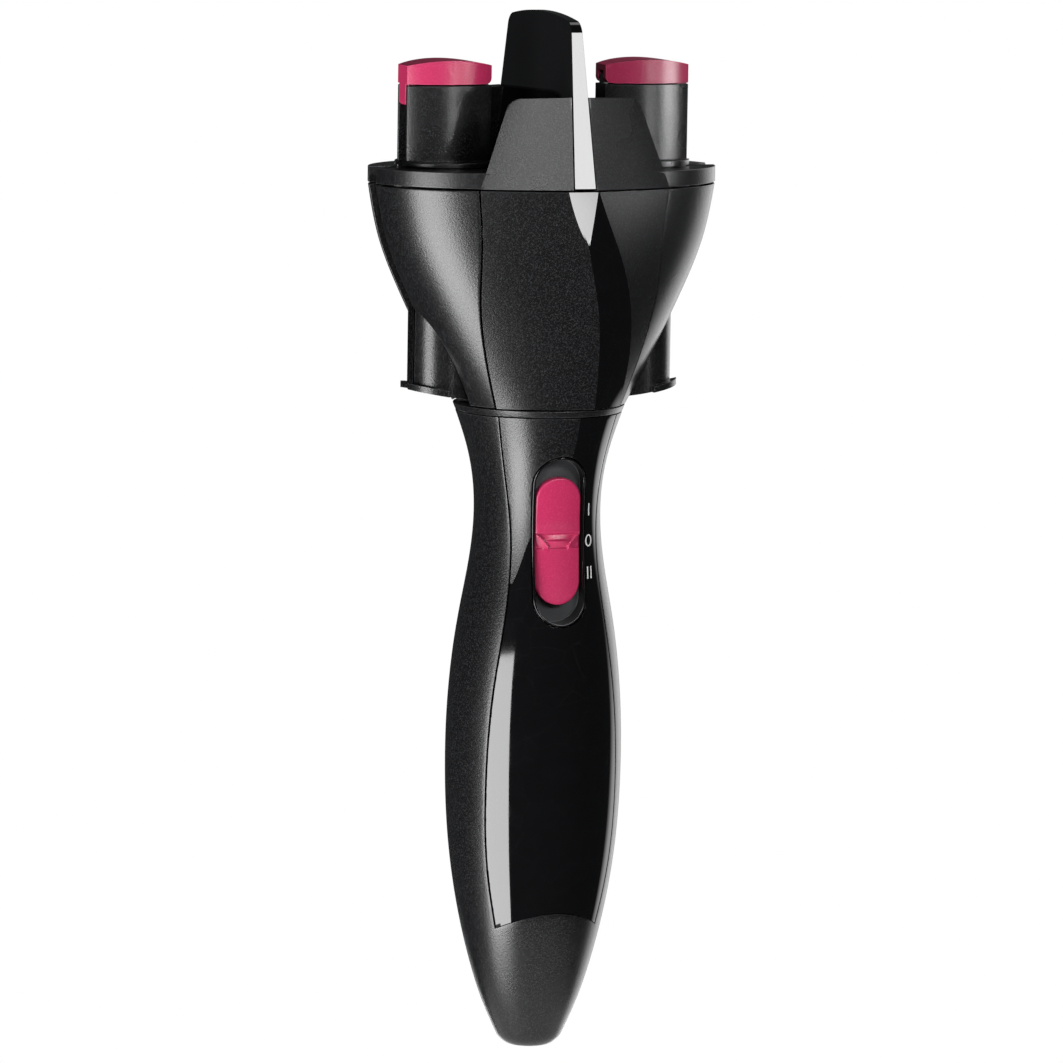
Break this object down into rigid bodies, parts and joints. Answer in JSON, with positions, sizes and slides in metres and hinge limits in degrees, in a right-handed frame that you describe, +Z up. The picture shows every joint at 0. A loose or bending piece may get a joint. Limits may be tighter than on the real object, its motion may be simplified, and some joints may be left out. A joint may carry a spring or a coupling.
{
  "type": "automatic hair braider",
  "caption": "Cordless hair braider: slim handle with slide switch, turning tulip head with a central fin and slotted hair twisters closed by sprung clips.",
  "frame": {"origin": "on the handle's axis at the small flat of the handle's tip, which is the lowest point", "axes": "+Z up along the handle towards the head, -Y the front with the switch, X across the two twisters"},
  "size_m": [0.0878, 0.061, 0.2565],
  "materials": {
    "satin": "fine-grained satin black",
    "gloss": "high-gloss black",
    "pink": "satin raspberry pink",
    "grey": "matte dark grey",
    "nylon": "natural acetal",
    "steel": "plain",
    "cell": "plain wrapped can",
    "board": "moulded switch body"
  },
  "bodies": {
    "grip": {"handle_body": "satin", "front_panel": "gloss", "neck_ring": "satin", "bearing_bush": "nylon", "switch_bezel": "grey", "switch_block": "board", "battery_tray": "grey", "battery_cell_left": "cell", "battery_cell_right": "cell", "contact_springs": "steel", "gear_motor": "steel", "gearbox": "steel", "motor_bracket": "grey"},
    "battery_cover": {"battery_door": "satin"},
    "slider": {"slider_button": "pink"},
    "head": {"head_hub": "satin", "retaining_ring": "steel", "gear_carrier": "nylon", "carrier_screws": "steel", "idler_pins": "steel", "crown": "satin", "fin": "gloss", "front_petal": "satin", "rear_petal": "satin", "wing_left": "satin", "wing_right": "satin", "hair_guide_left": "satin", "hair_guide_right": "satin"},
    "drive": {"drive_shaft": "steel", "sun_gear": "nylon"},
    "idler_right_rear": {"idler_gear_right_rear": "nylon"},
    "idler_right_front": {"idler_gear_right_front": "nylon"},
    "idler_left_front": {"idler_gear_left_front": "nylon"},
    "idler_left_rear": {"idler_gear_left_rear": "nylon"},
    "twister_left": {"twister_post_left": "satin", "twister_gear_left": "nylon", "clip_pin_left": "steel"},
    "clip_left": {"hair_clip_left": "pink"},
    "twister_right": {"twister_post_right": "satin", "twister_gear_right": "nylon", "clip_pin_right": "steel"},
    "clip_right": {"hair_clip_right": "pink"}
  },
  "joints": [
    {"name": "head_spin", "type": "hinge", "parent": "grip", "child": "head", "pos_m": [0, 0, 0.1555], "axis": [0, 0, 1], "continuous": true},
    {"name": "drive_spin", "type": "hinge", "parent": "head", "child": "drive", "pos_m": [0, 0, 0.208], "axis": [0, 0, 1], "continuous": true},
    {"name": "idler_spin_right_rear", "type": "hinge", "parent": "head", "child": "idler_right_rear", "pos_m": [0.01196, 0.00626, 0.208], "axis": [0, 0, 1], "continuous": true},
    {"name": "idler_spin_right_front", "type": "hinge", "parent": "head", "child": "idler_right_front", "pos_m": [0.01196, -0.00626, 0.208], "axis": [0, 0, 1], "continuous": true},
    {"name": "idler_spin_left_front", "type": "hinge", "parent": "head", "child": "idler_left_front", "pos_m": [-0.01196, -0.00626, 0.208], "axis": [0, 0, 1], "continuous": true},
    {"name": "idler_spin_left_rear", "type": "hinge", "parent": "head", "child": "idler_left_rear", "pos_m": [-0.01196, 0.00626, 0.208], "axis": [0, 0, 1], "continuous": true},
    {"name": "twister_spin_left", "type": "hinge", "parent": "head", "child": "twister_left", "pos_m": [-0.0256, 0, 0.2168], "axis": [0, 0, 1], "continuous": true},
    {"name": "clip_hinge_left", "type": "hinge", "parent": "twister_left", "child": "clip_left", "pos_m": [-0.01625, 0, 0.2404], "axis": [0, 1, 0], "range_deg": [0, 65], "stiffness_Nm_per_rad": 0.012, "springref_deg": -20.05},
    {"name": "twister_spin_right", "type": "hinge", "parent": "head", "child": "twister_right", "pos_m": [0.0256, 0, 0.2168], "axis": [0, 0, 1], "continuous": true},
    {"name": "clip_hinge_right", "type": "hinge", "parent": "twister_right", "child": "clip_right", "pos_m": [0.01625, 0, 0.2404], "axis": [0, -1, 0], "range_deg": [0, 65], "stiffness_Nm_per_rad": 0.012, "springref_deg": -20.05},
    {"name": "switch_slide", "type": "slide", "parent": "grip", "child": "slider", "axis": [0, 0, 1], "range_m": [-0.0042, 0.0042]},
    {"name": "battery_cover_lift", "type": "slide", "parent": "grip", "child": "battery_cover", "axis": [0, 1, 0], "range_m": [0, 0.03]}
  ],
  "couplings": [
    {"joint": "idler_spin_right_rear", "follows": "twister_spin_left", "ratio": -2.3333},
    {"joint": "idler_spin_right_front", "follows": "twister_spin_left", "ratio": -2.3333},
    {"joint": "idler_spin_left_front", "follows": "twister_spin_left", "ratio": -2.3333},
    {"joint": "idler_spin_left_rear", "follows": "twister_spin_left", "ratio": -2.3333},
    {"joint": "drive_spin", "follows": "twister_spin_left", "ratio": 1.1667},
    {"joint": "twister_spin_right", "follows": "twister_spin_left", "ratio": 1}
  ]
}
